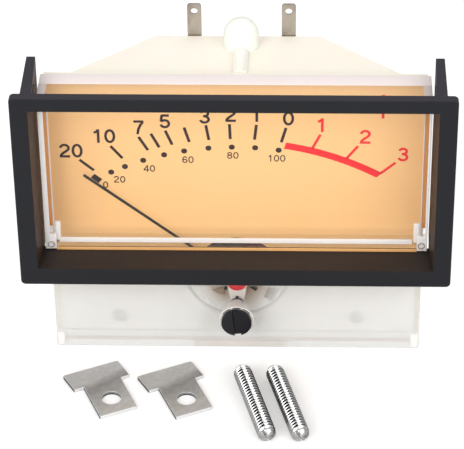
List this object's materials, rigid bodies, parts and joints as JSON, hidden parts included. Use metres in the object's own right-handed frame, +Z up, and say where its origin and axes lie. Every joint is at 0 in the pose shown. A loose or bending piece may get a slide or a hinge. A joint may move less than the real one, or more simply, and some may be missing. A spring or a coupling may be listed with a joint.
{
  "type": "analog vu meter",
  "caption": "Panel level meter: black bezel, clear cover, amber dial with a sprung moving-coil pointer, slotted zero adjuster, light box case and loose fixing kit.",
  "frame": {"origin": "on the floor, in the left-right middle, under the middle of the foot that the clear cover and the rear case make together", "axes": "+X right along the dial as the reader sees it, +Y rearward from the dial to the solder tags, +Z up"},
  "size_m": [0.1346, 0.0884, 0.108],
  "materials": {
    "black_plastic": "fine satin moulded black",
    "clear_plastic": "clear polished styrene",
    "cream_plastic": "translucent cream moulding",
    "milky_plastic": "milky lamp turret",
    "lamp_glass": "clear lamp glass",
    "cream_holder": "moulded lamp holder",
    "dial_sheet": "printed amber translucent sheet",
    "white_plastic": "white moulded panel",
    "zinc_steel": "bright zinc plate",
    "magnet": "ground sintered magnet",
    "soft_iron": "turned soft iron",
    "brass": "turned brass",
    "brown_plastic": "moulded phenolic",
    "movement_sheet": "moulded plate",
    "bright_sheet": "pressed sheet",
    "red_lacquer": "sealed with red lacquer",
    "aluminium": "thin folded sheet",
    "copper_wire": "enamelled copper winding",
    "hard_steel": "polished hard steel",
    "pointer_black": "dark painted thin sheet",
    "pale_sheet": "thin tinned sheet",
    "adjuster_black": "glossy black moulding",
    "spring_bronze": "phosphor bronze strip",
    "tinned_tag": "tinned sheet",
    "clamp_steel": "bright plated steel"
  },
  "bodies": {
    "meter_body": {"clear_cover": "clear_plastic", "rear_case": "cream_plastic", "lamp_cap": "milky_plastic", "lamp": "lamp_glass", "lamp_holder": "cream_holder", "dial_plate": "dial_sheet", "dial_carrier": "white_plastic", "carrier_screws": "zinc_steel", "magnet_core": "magnet", "yoke_ring": "soft_iron", "core_spacers": "brass", "movement_frame": "brown_plastic", "movement_plate": "movement_sheet", "movement_screws": "zinc_steel", "front_bridge": "bright_sheet", "bridge_posts": "brass", "rear_bridge": "bright_sheet", "front_jewel_screw": "red_lacquer", "rear_jewel_screw": "brass", "pointer_stops": "hard_steel", "front_hairspring": "spring_bronze", "rear_hairspring": "spring_bronze", "left_tag": "tinned_tag", "right_tag": "tinned_tag", "terminal_screws": "zinc_steel", "terminal_nuts": "brass", "clamp_plates": "clamp_steel", "set_screws": "zinc_steel"},
    "pointer_movement": {"pointer": "pointer_black", "pointer_hub": "brass", "rear_hub": "brass", "front_pivot": "hard_steel", "rear_pivot": "hard_steel", "balance_weights": "brass", "coil_bobbin": "aluminium", "coil_winding": "copper_wire"},
    "zero_lever": {"zero_lever": "pale_sheet"},
    "zero_adjuster": {"zero_adjuster": "adjuster_black"},
    "bezel": {"bezel_frame": "black_plastic"}
  },
  "joints": [
    {"name": "pointer_swing", "type": "hinge", "parent": "meter_body", "child": "pointer_movement", "pos_m": [0, -0.0104, 0.0246], "axis": [0, 1, 0], "range_deg": [-2, 103.5], "stiffness_Nm_per_rad": 0.00002, "deforming": ["front_hairspring", "rear_hairspring"]},
    {"name": "zero_adjust", "type": "hinge", "parent": "meter_body", "child": "zero_adjuster", "pos_m": [0, -0.02, 0.0163], "axis": [0, 1, 0], "range_deg": [-30, 30]},
    {"name": "zero_lever_turn", "type": "hinge", "parent": "meter_body", "child": "zero_lever", "pos_m": [0, -0.0127, 0.0246], "axis": [0, 1, 0], "range_deg": [-8, 8]},
    {"name": "bezel_slide", "type": "slide", "parent": "meter_body", "child": "bezel", "axis": [0, -1, 0], "range_m": [0, 0.03]}
  ],
  "couplings": [
    {"joint": "zero_lever_turn", "follows": "zero_adjust", "ratio": -0.23881}
  ]
}
